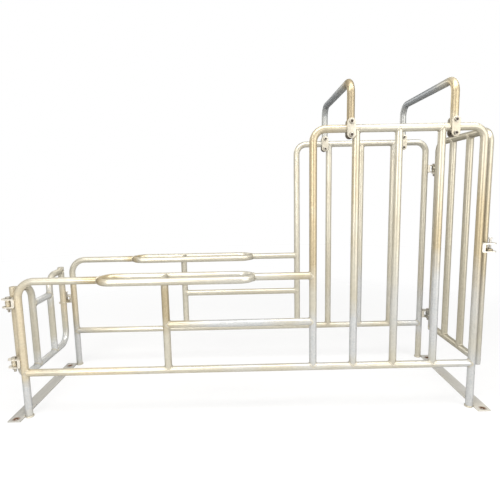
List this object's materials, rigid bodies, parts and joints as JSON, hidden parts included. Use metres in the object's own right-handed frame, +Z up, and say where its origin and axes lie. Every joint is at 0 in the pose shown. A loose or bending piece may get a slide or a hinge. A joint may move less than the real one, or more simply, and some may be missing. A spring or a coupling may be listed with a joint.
{
  "type": "sow mating stall",
  "caption": "Galvanised tube stall that holds a sow for mating: low sides with rest loops, a tall barred head end under two arches, and a swinging gate at each end.",
  "frame": {"origin": "middle of the rear floor bar's underside, on the floor and on the stall's centre line", "axes": "+X from the low rear end to the tall head end, +Y from the hinge side of the rear gate to its latch side, +Z up"},
  "size_m": [2.2572, 0.7536, 1.521],
  "materials": {
    "galvanised_tube": "hot-dip galvanised tube, satin with a warm mottled zinc spangle",
    "galvanised_plate": "hot-dip galvanised flat bar and brackets, duller than the tube",
    "zinc_plated_fastener": "zinc plated bolts and pins, slightly darker and smoother"
  },
  "bodies": {
    "stall": {"near_rear_hoop": "galvanised_tube", "near_rest_loop": "galvanised_tube", "near_rail_stub": "galvanised_tube", "near_mid_upright": "galvanised_tube", "near_mid_rail": "galvanised_tube", "near_lower_rail": "galvanised_tube", "near_tall_hoop": "galvanised_tube", "near_head_bar_1": "galvanised_tube", "near_head_bar_2": "galvanised_tube", "near_head_bar_3": "galvanised_tube", "far_rear_hoop": "galvanised_tube", "far_rest_loop": "galvanised_tube", "far_rail_stub": "galvanised_tube", "far_mid_upright": "galvanised_tube", "far_mid_rail": "galvanised_tube", "far_lower_rail": "galvanised_tube", "far_tall_hoop": "galvanised_tube", "far_head_bar_1": "galvanised_tube", "far_head_bar_2": "galvanised_tube", "far_head_bar_3": "galvanised_tube", "arch_1": "galvanised_tube", "arch_2": "galvanised_tube", "rear_floor_bar": "galvanised_plate", "front_floor_bar": "galvanised_plate", "near_clamp_1_outer_plate": "galvanised_plate", "near_clamp_1_inner_plate": "galvanised_plate", "near_clamp_2_outer_plate": "galvanised_plate", "near_clamp_2_inner_plate": "galvanised_plate", "far_clamp_1_outer_plate": "galvanised_plate", "far_clamp_1_inner_plate": "galvanised_plate", "far_clamp_2_outer_plate": "galvanised_plate", "far_clamp_2_inner_plate": "galvanised_plate", "rear_lower_hinge_fork": "galvanised_plate", "rear_upper_hinge_fork": "galvanised_plate", "rear_latch_fork": "galvanised_plate", "front_lower_hinge_fork": "galvanised_plate", "front_upper_hinge_fork": "galvanised_plate", "front_latch_fork": "galvanised_plate", "near_clamp_1_upper_bolt": "zinc_plated_fastener", "near_clamp_1_lower_bolt": "zinc_plated_fastener", "near_clamp_2_upper_bolt": "zinc_plated_fastener", "near_clamp_2_lower_bolt": "zinc_plated_fastener", "far_clamp_1_upper_bolt": "zinc_plated_fastener", "far_clamp_1_lower_bolt": "zinc_plated_fastener", "far_clamp_2_upper_bolt": "zinc_plated_fastener", "far_clamp_2_lower_bolt": "zinc_plated_fastener", "rear_lower_hinge_pin": "zinc_plated_fastener", "rear_upper_hinge_pin": "zinc_plated_fastener", "front_lower_hinge_pin": "zinc_plated_fastener", "front_upper_hinge_pin": "zinc_plated_fastener"},
    "rear_gate": {"rear_gate_frame": "galvanised_tube", "rear_gate_hinge_bar": "galvanised_tube", "rear_gate_latch_bar": "galvanised_tube", "rear_gate_crossbar": "galvanised_tube"},
    "front_gate": {"front_gate_hoop": "galvanised_tube", "front_gate_bottom_bar": "galvanised_tube", "front_gate_bar_1": "galvanised_tube", "front_gate_bar_2": "galvanised_tube"},
    "rear_drop_pin": {"rear_drop_pin": "zinc_plated_fastener"},
    "front_drop_pin": {"front_drop_pin": "zinc_plated_fastener"}
  },
  "joints": [
    {"name": "rear_gate_swing", "type": "hinge", "parent": "stall", "child": "rear_gate", "pos_m": [0.00215, -0.3, 0.4], "axis": [0, 0, 1], "range_deg": [0, 180]},
    {"name": "front_gate_swing", "type": "hinge", "parent": "stall", "child": "front_gate", "pos_m": [2.20015, 0.3, 0.7], "axis": [0, 0, 1], "range_deg": [0, 180]},
    {"name": "rear_drop_pin_lift", "type": "slide", "parent": "stall", "child": "rear_drop_pin", "axis": [0, 0, 1], "range_m": [-0.019, 0.015]},
    {"name": "front_drop_pin_lift", "type": "slide", "parent": "stall", "child": "front_drop_pin", "axis": [0, 0, 1], "range_m": [-0.019, 0.015]}
  ]
}
